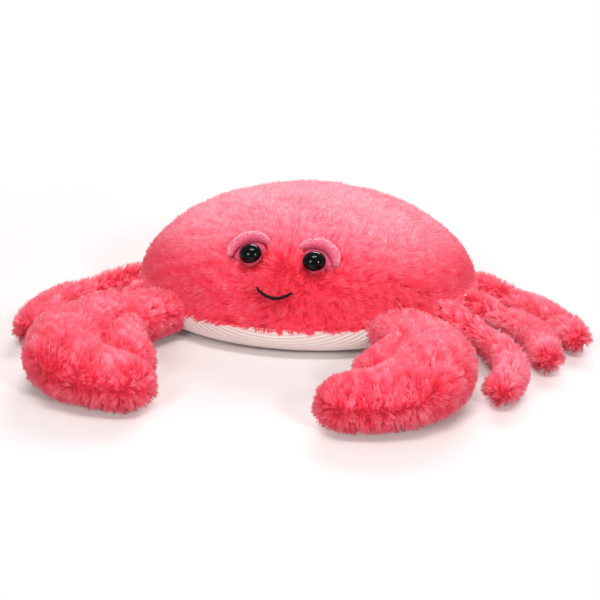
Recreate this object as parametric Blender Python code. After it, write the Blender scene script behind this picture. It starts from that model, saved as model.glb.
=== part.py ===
"""Plush crab: a long-pile body with a ribbed belly panel, two claws, six legs and safety eyes.

Every soft piece is a sewn cover of pile fabric round a fibre filling. The cover's outer face is
where the pile ends, and its wall is the backing and the pile together. The crab faces -Y, its
own left is +X, and the origin is the middle of the flat patch that the belly rests on.
"""

import math

import bmesh
import bpy
from mathutils import Matrix, Vector
from mathutils.geometry import interpolate_bezier

# Fits
CLEARANCE = 0.0003
LIMB_FILLING_CLEARANCE = 0.0006

# Fabrics
BODY_PILE_WALL = 0.0060
LIMB_PILE_WALL = 0.0048
BELLY_WALL = 0.0020

# Body cushion
BODY_HALF_WIDTH = 0.1010
BODY_HALF_DEPTH = 0.0860
BODY_PLAN_POWER = 2.03
GIRTH_HEIGHT = 0.0115
BODY_HEIGHT = 0.0715
DOME_POWER = 2.02
UNDERSIDE_POWER = 2.0
SEAM_HEIGHT = 0.0170
RESTING_SHARE = 0.79
BODY_SEGMENTS = 36
DOME_RINGS = 9
UNDERSIDE_RINGS = 5
TOP_FLAT_DEPTH = 0.0004
SEAM_ALLOWANCE_DEPTH = 0.0100
SEAM_ALLOWANCE_EASE = 0.0055

# Claws: half sizes at the arm, across the palm and near the tip
CLAW_HALF_WIDTHS = (0.0190, 0.0235, 0.0180)
CLAW_HALF_HEIGHTS = (0.0125, 0.0200, 0.0150)
CLAW_PALM_AT = 0.55
CLAW_ROOT_HEIGHT = 0.0150
THUMB_HALF_WIDTHS = (0.0190, 0.0165)
THUMB_HALF_HEIGHTS = (0.0160, 0.0150)
CLAW_SEGMENTS = 14
CLAW_RINGS = 11
THUMB_RINGS = 5

# Legs
LEG_RADIUS = 0.0108
LEG_ROOT_HEIGHT = 0.0200
LEG_JOINT_AT = 0.40
LEG_JOINT_PINCH = 0.15
LEG_JOINT_SPREAD = 0.06
LEG_DROP_BY = 0.50
LEG_SEGMENTS = 10
LEG_RINGS = 11

# Limbs in general
FLOOR_SINK = 0.88
TIP_RINGS = 4
TIP_LAST_TURN = 0.92
SPINE_SAMPLES = 60

# Sides, as the sign of X
LEFT = 1
RIGHT = -1

# Modelling steps
SLOPE_STEP = 0.0001
WELD_DISTANCE = 0.000001
SEARCH_REACH = 0.0060
SEARCH_STEPS = 30

# How each limb lies on the floor: the ends and handles of its spine in plan, with X measured outwards
# from the body's side
CLAW_LEFT_SPINE = ((-0.055, -0.051), (-0.006, -0.078), (0.0235, -0.166), (-0.0625, -0.1605))
CLAW_LEFT_THUMB_SPINE = ((-0.021, -0.086), (-0.023, -0.101), (-0.029, -0.118), (-0.044, -0.138))
CLAW_RIGHT_SPINE = ((-0.052, -0.049), (-0.003, -0.086), (0.032, -0.176), (-0.064, -0.161))
CLAW_RIGHT_THUMB_SPINE = ((-0.0165, -0.090), (-0.018, -0.108), (-0.028, -0.127), (-0.049, -0.146))
LEG_LEFT_FRONT_SPINE = ((-0.036, -0.037), (0.012, -0.043), (0.045, -0.090), (0.0205, -0.129))
LEG_LEFT_MIDDLE_SPINE = ((-0.026, -0.021), (0.017, -0.018), (0.042, -0.032), (0.046, -0.083))
LEG_LEFT_REAR_SPINE = ((-0.024, 0.001), (0.011, 0.022), (0.042, -0.007), (0.063, -0.052))
LEG_RIGHT_FRONT_SPINE = ((-0.037, -0.038), (0.004, -0.040), (0.018, -0.066), (0.0145, -0.0915))
LEG_RIGHT_MIDDLE_SPINE = ((-0.027, -0.021), (0.013, -0.022), (0.0485, -0.0360), (0.0335, -0.1060))
LEG_RIGHT_REAR_SPINE = ((-0.035, 0.036), (-0.009, 0.046), (-0.004, 0.074), (-0.025, 0.114))

# Face, sewn slightly askew, with angles round the body from straight ahead in degrees
EYES_TURN = 0.7
EYE_SPREAD = 13.0
EYES_BELOW_TOP = 0.0213
EYES_TILT = 0.0006
EYE_RADIUS = 0.0064
EYE_DOME_HEIGHT = 0.0050
EYE_SEAT = 0.0004
SHANK_RADIUS = 0.0022
SHANK_PAST_WASHER = 0.0014
WASHER_RADIUS = 0.0058
WASHER_THICKNESS = 0.0016
WASHER_DROP = 0.0010
EYE_SEGMENTS = 20
DOME_STEPS = 6
PATCH_RADIUS = 0.0104
PATCH_THICKNESS = 0.0022
LID_RADIUS = 0.0113
LID_TUBE_RADIUS = 0.0030
LID_LIFT = 0.0009
LID_END_SHARE = 0.55
LID_SWEEP = (-10.0, 138.0)
LID_RINGS = 11
LID_SEGMENTS = 10
MOUTH_TURN = 0.2
MOUTH_BELOW_EYES = 0.0174
MOUTH_HALF_ANGLE = 5.9
MOUTH_RISE = 0.0035
MOUTH_SLANT = 0.0004
MOUTH_THREAD_RADIUS = 0.0009
MOUTH_RINGS = 13
MOUTH_SEGMENTS = 8

# Colours, as (red, green, blue) in linear light, with roughness
PILE_PINK = ((0.800, 0.085, 0.150), 0.95)
LID_PINK = ((0.720, 0.130, 0.250), 0.90)
BELLY_CREAM = ((0.850, 0.680, 0.640), 0.90)
EYE_BLACK = ((0.005, 0.005, 0.006), 0.08)
WASHER_WHITE = ((0.800, 0.800, 0.780), 0.50)
THREAD_BLACK = ((0.010, 0.009, 0.010), 0.70)
FIBRE_WHITE = ((0.850, 0.850, 0.830), 1.00)


def clear_scene():
    for obj in list(bpy.data.objects):
        bpy.data.objects.remove(obj)


def material(name, finish):
    """A Principled material of one colour and roughness."""
    colour, roughness = finish
    made = bpy.data.materials.new(name)
    made.use_nodes = True
    shader = made.node_tree.nodes["Principled BSDF"]
    shader.inputs["Base Color"].default_value = (*colour, 1.0)
    shader.inputs["Roughness"].default_value = roughness
    shader.inputs["Metallic"].default_value = 0.0
    return made


def add_object(name, bm, finish):
    """A mesh object with the bmesh's faces pointing out and shaded smooth."""
    bmesh.ops.recalc_face_normals(bm, faces=bm.faces)
    mesh = bpy.data.meshes.new(name)
    bm.to_mesh(mesh)
    bm.free()
    mesh.shade_smooth()
    mesh.materials.append(finish)
    obj = bpy.data.objects.new(name, mesh)
    bpy.context.scene.collection.objects.link(obj)
    return obj


def as_cutter(obj):
    """Marks a helper that only shapes other pieces."""
    obj.hide_render = True
    obj.display_type = "WIRE"
    return obj


def boolean(obj, operation, other):
    step = obj.modifiers.new(f"{operation.lower()}_{other.name}", "BOOLEAN")
    step.operation = operation
    step.solver = "EXACT"
    step.object = other


def loft(rings):
    """A closed solid through rings of as many points each, with flat ends."""
    bm = bmesh.new()
    loops = [[bm.verts.new(point) for point in ring] for ring in rings]
    for lower, upper in zip(loops, loops[1:]):
        for i in range(len(lower)):
            bm.faces.new((lower[i - 1], lower[i], upper[i], upper[i - 1]))
    bm.faces.new(loops[0][::-1])
    bm.faces.new(loops[-1])
    return bm


def turned(profile, frame):
    """A solid turned round a frame's Z from (radius, height) points, where a radius of 0 is a pole."""
    bm = bmesh.new()
    verts = [bm.verts.new((radius, 0.0, height)) for radius, height in profile]
    edges = [bm.edges.new(pair) for pair in zip(verts, verts[1:])]
    bmesh.ops.spin(
        bm,
        geom=verts + edges,
        cent=(0, 0, 0),
        axis=(0, 0, 1),
        angle=math.tau,
        steps=EYE_SEGMENTS,
        use_merge=True,
    )
    bmesh.ops.remove_doubles(bm, verts=bm.verts, dist=WELD_DISTANCE)
    bm.transform(frame)
    return bm


def ring_outline(inner, outer, low, high):
    """The closed profile of a flat ring, to be turned."""
    return [(inner, low), (outer, low), (outer, high), (inner, high), (inner, low)]


def eased(share):
    """A smooth rise from 0 to 1."""
    share = min(max(share, 0.0), 1.0)
    return share * share * (3 - 2 * share)


def signed_power(value, power):
    return math.copysign(abs(value) ** power, value)


# Body: one profile from the resting patch, round the girth, to the top of the dome
def plan_point(angle, share):
    """A point of the body's plan outline, scaled by share, at an angle from straight ahead."""
    power = 2 / BODY_PLAN_POWER
    x = BODY_HALF_WIDTH * signed_power(math.sin(angle), power) * share
    y = -BODY_HALF_DEPTH * signed_power(math.cos(angle), power) * share
    return x, y


def profile_share(height):
    """The plan's share at a height on the body's profile."""
    if height >= GIRTH_HEIGHT:
        rise = (height - GIRTH_HEIGHT) / (BODY_HEIGHT - GIRTH_HEIGHT)
        return (1 - min(rise, 1.0) ** DOME_POWER) ** (1 / DOME_POWER)
    drop = (GIRTH_HEIGHT - height) / GIRTH_HEIGHT
    round_part = (1 - min(drop, 1.0) ** UNDERSIDE_POWER) ** (1 / UNDERSIDE_POWER)
    return RESTING_SHARE + (1 - RESTING_SHARE) * round_part


def surface_point(angle, height):
    """A point on the outside of the body, and the way out from it."""

    def at(turn, level):
        return Vector((*plan_point(turn, profile_share(level)), level))

    across = at(angle + SLOPE_STEP, height) - at(angle - SLOPE_STEP, height)
    upward = at(angle, height + SLOPE_STEP) - at(angle, height - SLOPE_STEP)
    return at(angle, height), across.cross(upward).normalized()


def body_ring(height, inset=0.0, level=None):
    """A ring of the body drawn in by the inset, levelled where a height is given."""
    ring = []
    for i in range(BODY_SEGMENTS):
        point, way = surface_point(math.tau * (i + 0.5) / BODY_SEGMENTS, height)
        point -= way * inset
        if level is not None:
            point.z = level
        ring.append(point)
    return ring


def dome_heights():
    """Heights from the seam to just under the top, closer together near the top."""
    rise = BODY_HEIGHT - TOP_FLAT_DEPTH - SEAM_HEIGHT
    return [SEAM_HEIGHT + rise * math.sin(math.pi / 2 * i / DOME_RINGS) for i in range(DOME_RINGS + 1)]


def underside_heights(top):
    """Heights from the resting patch to a rim, closer together near the patch."""
    steps = [i / UNDERSIDE_RINGS for i in range(UNDERSIDE_RINGS + 1)]
    return [top * (1 - math.cos(math.pi / 2 * step)) for step in steps]


def walled(heights, rim, thickness):
    """A wall over a run of heights that starts at its level rim."""
    outside = [body_ring(height) for height in heights]
    inside = [body_ring(height, thickness) for height in heights[1:]]
    lip = body_ring(rim, thickness, rim)
    return loft(inside[::-1] + [lip] + outside)


def whole_body(inset_at):
    heights = underside_heights(SEAM_HEIGHT)[:-1] + dome_heights()
    return loft([body_ring(height, inset_at(height)) for height in heights])


def filling_inset(height):
    """Past the belly panel low down and past the pile above, easing below the seam."""
    share = eased((height - SEAM_HEIGHT + SEAM_ALLOWANCE_DEPTH) / SEAM_ALLOWANCE_EASE)
    return BELLY_WALL + (BODY_PILE_WALL - BELLY_WALL) * share + CLEARANCE


def inside_body(point):
    power = BODY_PLAN_POWER
    reach = (abs(point.x) / BODY_HALF_WIDTH) ** power + (abs(point.y) / BODY_HALF_DEPTH) ** power
    return reach ** (1 / power) < profile_share(point.z)


def on_body(point, way):
    """Where a line through a point, along way, comes out of the body near the point."""
    inner, outer = -SEARCH_REACH, SEARCH_REACH
    for _ in range(SEARCH_STEPS):
        middle = (inner + outer) / 2
        if inside_body(point + way * middle):
            inner = middle
        else:
            outer = middle
    return point + way * inner


# Limbs: sections lofted along a spine that leaves the body at the seam and lies on the floor
class Spine:
    """A curve in plan that is walked by distance."""

    def __init__(self, ends_and_handles, side):
        corners = [Vector((side * (BODY_HALF_WIDTH + x), y, 0.0)) for x, y in ends_and_handles]
        self.points = interpolate_bezier(*corners, SPINE_SAMPLES)
        self.places = [0.0]
        for here, ahead in zip(self.points, self.points[1:]):
            self.places.append(self.places[-1] + (ahead - here).length)
        self.length = self.places[-1]

    def at(self, place):
        """The point at a distance along the curve, and the direction there."""
        index = sum(1 for known in self.places[1:-1] if known <= place)
        here, ahead = self.points[index], self.points[index + 1]
        share = (place - self.places[index]) / (self.places[index + 1] - self.places[index])
        return here.lerp(ahead, share), (ahead - here).normalized()


def ring_places(reach, tip, count):
    """Even distances to the start of a round tip, then closer ones as the tip closes."""
    straight = reach - tip
    even = [straight * i / count for i in range(count + 1)]
    turn = math.pi / 2 * TIP_LAST_TURN / TIP_RINGS
    return even + [straight + tip * math.sin(turn * i) for i in range(1, TIP_RINGS + 1)]


def limb(spine, size_at, height_at, count, segments, inset):
    """A limb with a round tip that lies flat: nothing goes lower than the inset.

    size_at gives (half width, half height) and height_at the height of the middle, both at a
    share of the limb's length.
    """
    tip = size_at(1.0)[0] - inset
    reach = spine.length - inset
    rings = []
    for place in ring_places(reach, tip, count):
        centre, way = spine.at(place)
        share = place / spine.length
        half_width, half_height = size_at(share)
        past = max(place - (reach - tip), 0.0) / tip
        closing = math.sqrt(1 - past * past)
        across = Vector((-way.y, way.x, 0.0)) * (half_width - inset) * closing
        middle = height_at(share)
        ring = []
        for i in range(segments):
            angle = math.tau * (i + 0.5) / segments
            point = centre + across * math.cos(angle)
            point.z = max(middle + (half_height - inset) * closing * math.sin(angle), inset)
            ring.append(point)
        rings.append(ring)
    return loft(rings)


def claw_finger(spine, side, inset):
    """Arm, palm and large finger, as one curved limb."""

    def eased_through(values, share):
        root, palm, tip = values
        if share < CLAW_PALM_AT:
            return root + (palm - root) * eased(share / CLAW_PALM_AT)
        return palm + (tip - palm) * eased((share - CLAW_PALM_AT) / (1 - CLAW_PALM_AT))

    def size_at(share):
        return eased_through(CLAW_HALF_WIDTHS, share), eased_through(CLAW_HALF_HEIGHTS, share)

    def height_at(share):
        rested = size_at(share)[1] * FLOOR_SINK
        return CLAW_ROOT_HEIGHT + (rested - CLAW_ROOT_HEIGHT) * eased(share / CLAW_PALM_AT)

    return limb(Spine(spine, side), size_at, height_at, CLAW_RINGS, CLAW_SEGMENTS, inset)


def claw_thumb(spine, side, inset):
    """The small finger, which leaves the palm on its inner side."""

    def size_at(share):
        return tuple(
            root + (tip - root) * eased(share) for root, tip in (THUMB_HALF_WIDTHS, THUMB_HALF_HEIGHTS)
        )

    def height_at(share):
        return size_at(share)[1] * FLOOR_SINK

    return limb(Spine(spine, side), size_at, height_at, THUMB_RINGS, CLAW_SEGMENTS, inset)


def claw_solid(name, spines, side, inset, finish):
    """Both fingers joined into one solid, drawn in by the inset."""
    finger_spine, thumb_spine = spines
    whole = add_object(name, claw_finger(finger_spine, side, inset), finish)
    thumb = as_cutter(add_object(f"{name}_thumb", claw_thumb(thumb_spine, side, inset), finish))
    boolean(whole, "UNION", thumb)
    return whole


def leg_solid(name, spines, side, inset, finish):
    """A round leg with a pinch at its stitched joint."""

    def size_at(share):
        off_joint = (share - LEG_JOINT_AT) / LEG_JOINT_SPREAD
        radius = LEG_RADIUS * (1 - LEG_JOINT_PINCH * math.exp(-off_joint * off_joint))
        return radius, radius

    def height_at(share):
        rested = LEG_RADIUS * FLOOR_SINK
        return LEG_ROOT_HEIGHT + (rested - LEG_ROOT_HEIGHT) * eased(share / LEG_DROP_BY)

    bm = limb(Spine(spines[0], side), size_at, height_at, LEG_RINGS, LEG_SEGMENTS, inset)
    return add_object(name, bm, finish)


def make_limb(name, solid, spines, side, envelope, finishes):
    """A cover with its filling, both trimmed where the limb is sewn to the body."""
    pile, fibre = finishes
    cover = solid(f"{name}_cover", spines, side, 0.0, pile)
    cavity = as_cutter(solid(f"{name}_cavity", spines, side, LIMB_PILE_WALL, pile))
    boolean(cover, "DIFFERENCE", cavity)
    boolean(cover, "DIFFERENCE", envelope)
    filling_inset = LIMB_PILE_WALL + LIMB_FILLING_CLEARANCE
    filling = solid(f"{name}_filling", spines, side, filling_inset, fibre)
    boolean(filling, "DIFFERENCE", envelope)


# Face
def face_frame(angle, height):
    """A frame on the body with Z pointing out, X across the face and Y up it."""
    point, way = surface_point(math.radians(angle), height)
    across = Vector((0, 0, 1)).cross(way).normalized()
    up = way.cross(across)
    frame = Matrix((across, up, way)).transposed().to_4x4()
    frame.translation = point
    return frame


def make_eye(name, frame, cover, filling, whole, finishes):
    """A dome on a shank, held by a washer behind the pile fabric, over a short-pile patch."""
    black, white, short_pile = finishes
    washer_top = -(BODY_PILE_WALL + WASHER_DROP)
    washer_foot = washer_top - WASHER_THICKNESS
    shank_foot = washer_foot - SHANK_PAST_WASHER
    turns = [math.pi / 2 * i / DOME_STEPS for i in range(DOME_STEPS + 1)]
    dome = [(EYE_RADIUS * math.cos(t), EYE_SEAT + EYE_DOME_HEIGHT * math.sin(t)) for t in turns[:-1]]
    top = (0.0, EYE_SEAT + EYE_DOME_HEIGHT)
    shank = [(0.0, shank_foot), (SHANK_RADIUS, shank_foot), (SHANK_RADIUS, EYE_SEAT)]
    add_object(f"eye_{name}", turned(shank + dome + [top], frame), black)

    bore = SHANK_RADIUS + CLEARANCE
    washer = ring_outline(bore, WASHER_RADIUS, washer_foot, washer_top)
    add_object(f"eye_washer_{name}", turned(washer, frame), white)

    outside = EYE_RADIUS
    blank = ring_outline(bore, PATCH_RADIUS, -PATCH_THICKNESS, outside)
    patch = add_object(f"eye_patch_{name}", turned(blank, frame), short_pile)
    boolean(patch, "INTERSECT", whole)

    recess_radius = PATCH_RADIUS + CLEARANCE
    recess_foot = -(PATCH_THICKNESS + CLEARANCE)
    seat_outline = [
        (0.0, shank_foot),
        (bore, shank_foot),
        (bore, recess_foot),
        (recess_radius, recess_foot),
        (recess_radius, outside),
        (0.0, outside),
    ]
    seat = as_cutter(add_object(f"eye_seat_{name}", turned(seat_outline, frame), short_pile))
    boolean(cover, "DIFFERENCE", seat)

    pocket_radius = WASHER_RADIUS + CLEARANCE
    pocket_foot = shank_foot - CLEARANCE
    pocket_outline = [
        (0.0, pocket_foot),
        (pocket_radius, pocket_foot),
        (pocket_radius, outside),
        (0.0, outside),
    ]
    pocket = as_cutter(add_object(f"washer_pocket_{name}", turned(pocket_outline, frame), white))
    boolean(filling, "DIFFERENCE", pocket)


def tube(points, ways, radii, segments):
    """A tube of given radii along points, with each ring turned to face along the path."""
    rings = []
    last = len(points) - 1
    for i, (point, way, radius) in enumerate(zip(points, ways, radii)):
        along = (points[min(i + 1, last)] - points[max(i - 1, 0)]).normalized()
        side = along.cross(way).normalized()
        lift = side.cross(along)
        turns = [math.tau * (k + 0.5) / segments for k in range(segments)]
        rings.append([point + (side * math.cos(t) + lift * math.sin(t)) * radius for t in turns])
    return loft(rings)


def make_lid(name, side, frame, envelope, short_pile):
    """A padded crescent over the eye, lying on the pile."""
    across, up, way = (frame.col[i].to_3d() for i in range(3))
    points, radii = [], []
    first, last = (math.radians(angle) for angle in LID_SWEEP)
    for i in range(LID_RINGS):
        share = i / (LID_RINGS - 1)
        turn = first + (last - first) * share
        aside = across * math.cos(turn) * side + up * math.sin(turn)
        points.append(on_body(frame.translation + aside * LID_RADIUS, way) + way * LID_LIFT)
        fullness = LID_END_SHARE + (1 - LID_END_SHARE) * math.sin(math.pi * share)
        radii.append(LID_TUBE_RADIUS * fullness)
    bm = tube(points, [way] * LID_RINGS, radii, LID_SEGMENTS)
    lid = add_object(f"eyelid_{name}", bm, short_pile)
    boolean(lid, "DIFFERENCE", envelope)


def make_smile(middle_height, thread):
    """A thick embroidered thread laid on the pile, one corner a little higher."""
    points, ways = [], []
    for i in range(MOUTH_RINGS):
        across = 2 * i / (MOUTH_RINGS - 1) - 1
        angle = math.radians(MOUTH_TURN + across * MOUTH_HALF_ANGLE)
        height = middle_height + MOUTH_RISE * across * across - MOUTH_SLANT * across
        point, way = surface_point(angle, height)
        points.append(point + way * (MOUTH_THREAD_RADIUS + CLEARANCE))
        ways.append(way)
    radii = [MOUTH_THREAD_RADIUS] * MOUTH_RINGS
    add_object("smile_thread", tube(points, ways, radii, MOUTH_SEGMENTS), thread)


def main():
    clear_scene()
    pile = material("pile_pink", PILE_PINK)
    short_pile = material("lid_pink", LID_PINK)
    belly = material("belly_cream", BELLY_CREAM)
    black = material("eye_black", EYE_BLACK)
    white = material("washer_white", WASHER_WHITE)
    thread = material("thread_black", THREAD_BLACK)
    fibre = material("fibre_white", FIBRE_WHITE)

    cover = add_object("carapace_cover", walled(dome_heights(), SEAM_HEIGHT, BODY_PILE_WALL), pile)
    rim = SEAM_HEIGHT - CLEARANCE
    add_object("belly_panel", walled(underside_heights(rim)[::-1], rim, BELLY_WALL), belly)
    filling = add_object("body_filling", whole_body(filling_inset), fibre)
    whole = as_cutter(add_object("body_whole", whole_body(lambda height: 0.0), pile))
    envelope = as_cutter(add_object("body_envelope", whole_body(lambda height: -CLEARANCE), pile))

    limb_finishes = (pile, fibre)
    for name, solid, side, *spines in (
        ("claw_left", claw_solid, LEFT, CLAW_LEFT_SPINE, CLAW_LEFT_THUMB_SPINE),
        ("claw_right", claw_solid, RIGHT, CLAW_RIGHT_SPINE, CLAW_RIGHT_THUMB_SPINE),
        ("leg_left_front", leg_solid, LEFT, LEG_LEFT_FRONT_SPINE),
        ("leg_left_middle", leg_solid, LEFT, LEG_LEFT_MIDDLE_SPINE),
        ("leg_left_rear", leg_solid, LEFT, LEG_LEFT_REAR_SPINE),
        ("leg_right_front", leg_solid, RIGHT, LEG_RIGHT_FRONT_SPINE),
        ("leg_right_middle", leg_solid, RIGHT, LEG_RIGHT_MIDDLE_SPINE),
        ("leg_right_rear", leg_solid, RIGHT, LEG_RIGHT_REAR_SPINE),
    ):
        make_limb(name, solid, spines, side, envelope, limb_finishes)

    eyes_height = BODY_HEIGHT - EYES_BELOW_TOP
    for name, side in (("left", LEFT), ("right", RIGHT)):
        frame = face_frame(EYES_TURN + side * EYE_SPREAD, eyes_height - side * EYES_TILT)
        make_eye(name, frame, cover, filling, whole, (black, white, short_pile))
        make_lid(name, side, frame, envelope, short_pile)
    make_smile(eyes_height - MOUTH_BELOW_EYES, thread)


main()
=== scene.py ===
"""The looks of a plush crab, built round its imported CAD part."""

import heapq
import math

import bpy
import numpy as np
from mathutils import Matrix, Vector
from mathutils.kdtree import KDTree


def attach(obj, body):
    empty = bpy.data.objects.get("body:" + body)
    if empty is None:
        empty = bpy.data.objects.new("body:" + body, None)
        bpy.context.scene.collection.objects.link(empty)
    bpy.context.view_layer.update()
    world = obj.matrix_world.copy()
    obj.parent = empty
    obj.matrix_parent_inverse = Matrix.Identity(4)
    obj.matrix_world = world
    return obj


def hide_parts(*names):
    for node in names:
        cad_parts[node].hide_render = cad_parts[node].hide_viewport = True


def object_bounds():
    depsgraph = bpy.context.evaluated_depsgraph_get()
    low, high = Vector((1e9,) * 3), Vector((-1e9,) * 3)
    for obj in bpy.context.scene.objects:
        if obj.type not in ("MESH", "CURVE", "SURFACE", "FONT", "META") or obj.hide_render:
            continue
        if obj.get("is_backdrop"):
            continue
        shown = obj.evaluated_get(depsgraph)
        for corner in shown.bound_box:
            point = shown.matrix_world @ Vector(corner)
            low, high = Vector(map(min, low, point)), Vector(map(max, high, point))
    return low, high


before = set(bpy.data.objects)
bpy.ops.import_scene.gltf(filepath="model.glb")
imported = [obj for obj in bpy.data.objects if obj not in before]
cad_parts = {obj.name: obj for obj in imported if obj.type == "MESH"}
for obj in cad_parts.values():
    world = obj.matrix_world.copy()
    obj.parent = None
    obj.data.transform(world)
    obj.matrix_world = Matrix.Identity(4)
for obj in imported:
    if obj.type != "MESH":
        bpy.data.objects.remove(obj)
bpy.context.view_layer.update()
bpy.ops.object.select_all(action="DESELECT")


# Body cushion
# The crab's body is a stuffed dome sewn from long-pile fabric, about 200 mm wide, flat underneath.
# Its knitted backing is drawn tight by the filling, and the pile stands about 4 mm off it.
HALF_WIDTH, HALF_DEPTH, PLAN_POWER = 0.1010, 0.0860, 2.03
GIRTH, TOP, DOME_POWER = 0.0115, 0.0715, 2.02
RESTING_SHARE = 0.79
SEAM_HEIGHT, FRINGE_HEIGHT = 0.0170, 0.0080
BODY_PILE_HEIGHT = 0.0042


def profile_share(height):
    """How wide the body is at a height, as a share of its plan outline."""
    rise = np.clip((height - GIRTH) / (TOP - GIRTH), 0, 1)
    drop = np.clip((GIRTH - height) / GIRTH, 0, 1)
    dome = (1 - rise**DOME_POWER) ** (1 / DOME_POWER)
    return np.where(height >= GIRTH, dome, RESTING_SHARE + (1 - RESTING_SHARE) * np.sqrt(1 - drop**2))


def body_surface(angle, height):
    """Points on the outside of the body, at angles from straight ahead and at heights."""
    power, share = 2 / PLAN_POWER, profile_share(height)
    sine, cosine = np.sin(angle), np.cos(angle)
    x = HALF_WIDTH * np.sign(sine) * np.abs(sine) ** power * share
    y = -HALF_DEPTH * np.sign(cosine) * np.abs(cosine) ** power * share
    return np.stack([x, y, height + 0 * x], -1)


def body_way_out(angle, height):
    """The ways out of the body there."""
    step = 1e-4
    across = body_surface(angle + step, height) - body_surface(angle - step, height)
    upward = body_surface(angle, height + step) - body_surface(angle, height - step)
    out = np.cross(across, upward)
    return out / np.linalg.norm(out, axis=-1, keepdims=True)


def outside_body(points, margin):
    """Which points lie clear of the body's outside by a margin."""
    share = np.maximum(profile_share(points[:, 2]), 0.05)
    x = np.abs(points[:, 0]) / (HALF_WIDTH * share + margin)
    y = np.abs(points[:, 1]) / (HALF_DEPTH * share + margin)
    return x**PLAN_POWER + y**PLAN_POWER > 1


def smooth_step(value, low, high):
    """From 0 at a low value to 1 at a high one, with soft ends."""
    share = np.clip((value - low) / (high - low), 0, 1)
    return share * share * (3 - 2 * share)


def add_piece(name, points, faces):
    """A mesh piece at the origin from arrays of points and faces of one length."""
    mesh = bpy.data.meshes.new(name)
    mesh.vertices.add(len(points))
    sides = faces.shape[1]
    mesh.loops.add(faces.size)
    mesh.loops.foreach_set("vertex_index", faces.astype(np.int32).ravel())
    mesh.polygons.add(len(faces))
    mesh.polygons.foreach_set("loop_start", np.arange(0, faces.size, sides, dtype=np.int32))
    piece = bpy.data.objects.new(name, mesh)
    bpy.context.scene.collection.objects.link(piece)
    put_points(piece, points)
    mesh.update(calc_edges=True)
    mesh.shade_smooth()
    return piece


def points_of(piece, kind="co"):
    """The places of a piece's points, or the ways out there."""
    values = np.empty(len(piece.data.vertices) * 3, np.float32)
    piece.data.vertices.foreach_get(kind, values)
    return values.reshape(-1, 3).astype(float)


def put_points(piece, points):
    """Moves a piece's points to new places."""
    piece.data.vertices.foreach_set("co", np.asarray(points, np.float32).ravel())
    piece.data.update()


def edited(piece, *steps):
    """Runs mesh operators with their settings in edit mode on the whole of a piece."""
    bpy.ops.object.select_all(action="DESELECT")
    bpy.context.view_layer.objects.active = piece
    piece.select_set(True)
    bpy.ops.object.mode_set(mode="EDIT")
    bpy.ops.mesh.select_all(action="SELECT")
    for operator, settings in steps:
        operator(**settings)
    bpy.ops.object.mode_set(mode="OBJECT")
    piece.data.shade_smooth()
    piece.select_set(False)


def finished(piece, finish, *node_names, slot="pile_fabric"):
    """Gives a piece its material, puts it under the root, and hides the CAD parts it stands in for."""
    piece.data.materials.clear()
    piece.data.materials.append(finish)
    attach(piece, "root")
    if node_names:
        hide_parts(*node_names)
    return piece


def nodes_of(name):
    """A new material with its node tree, its shader, and a short way to add and join nodes."""
    made = bpy.data.materials.new(name)
    made.use_nodes = True
    tree = made.node_tree
    return made, tree, tree.nodes["Principled BSDF"], tree.nodes.new, tree.links.new


def group_of(name, inputs, outputs):
    """A new node group with named sockets, and short ways to reach and join its nodes."""
    group = bpy.data.node_groups.new(name, "ShaderNodeTree")
    for way, sockets in (("INPUT", inputs), ("OUTPUT", outputs)):
        for label, kind in sockets:
            group.interface.new_socket(label, in_out=way, socket_type=f"NodeSocket{kind}")
    new = group.nodes.new
    return group, new("NodeGroupInput").outputs, new("NodeGroupOutput").inputs, new, group.links.new


def placed(group, new, **values):
    """A group put into a material, with its own values on the group's sockets."""
    node = new("ShaderNodeGroup")
    node.node_tree = group
    for label, value in values.items():
        node.inputs[label].default_value = value if isinstance(value, (int, float)) else (*value, 1)
    return node


# Pile hairs are dark at the root and paler to the tip: painted shade deep in the pile, where the hairs
# cast no shadow on each other, and painted light on their tips. Each tuft has a tint that varies at random
# and also carries painted light and shade. The hairs' map runs from root to tip up the page, and from deep
# to pale tufts across it.
HAIR_STOPS, HAIR_MIDDLE = ("Root", "Middle", "Tip"), 0.45
TINT_STOPS, PLAIN_TINT = ("Deep", "Plain", "Pale"), 0.5
pile_colour, given, result, new, link = group_of(
    "pile_colour",
    [("Place", "Vector")] + [(stop, "Color") for stop in HAIR_STOPS + TINT_STOPS],
    [("Color", "Color")],
)
split = new("ShaderNodeSeparateXYZ")
link(given["Place"], split.inputs["Vector"])
blends = []
for axis, turn, stops in (("Y", HAIR_MIDDLE, HAIR_STOPS), ("X", PLAIN_TINT, TINT_STOPS)):
    below = given[stops[0]]
    for low, high, stop in ((0.0, turn, stops[1]), (turn, 1.0, stops[2])):
        share = new("ShaderNodeMapRange")
        share.inputs["From Min"].default_value, share.inputs["From Max"].default_value = low, high
        blend = new("ShaderNodeMix")
        blend.data_type = "RGBA"
        link(split.outputs[axis], share.inputs["Value"])
        link(share.outputs["Result"], blend.inputs["Factor"])
        link(below, blend.inputs["A"])
        link(given[stop], blend.inputs["B"])
        below = blend.outputs["Result"]
    blends.append(below)
tinted = new("ShaderNodeMix")
tinted.data_type, tinted.blend_type = "RGBA", "MULTIPLY"
tinted.inputs["Factor"].default_value = 1
link(blends[0], tinted.inputs["A"])
link(blends[1], tinted.inputs["B"])
link(tinted.outputs["Result"], result["Color"])

# The knitted backing that shows between hairs has fine loops, with painted shade between them and painted
# light on their tops.
knit, given, result, new, link = group_of(
    "knit",
    [("Place", "Vector"), ("Loops", "Float"), ("Dark", "Color"), ("Light", "Color")],
    [("Color", "Color"), ("Height", "Float")],
)
loops = new("ShaderNodeTexVoronoi")
shade = new("ShaderNodeMix")
shade.data_type = "RGBA"
link(given["Place"], loops.inputs["Vector"])
link(given["Loops"], loops.inputs["Scale"])
link(loops.outputs["Distance"], shade.inputs["Factor"])
link(given["Dark"], shade.inputs["A"])
link(given["Light"], shade.inputs["B"])
link(shade.outputs["Result"], result["Color"])
link(loops.outputs["Distance"], result["Height"])


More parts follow.
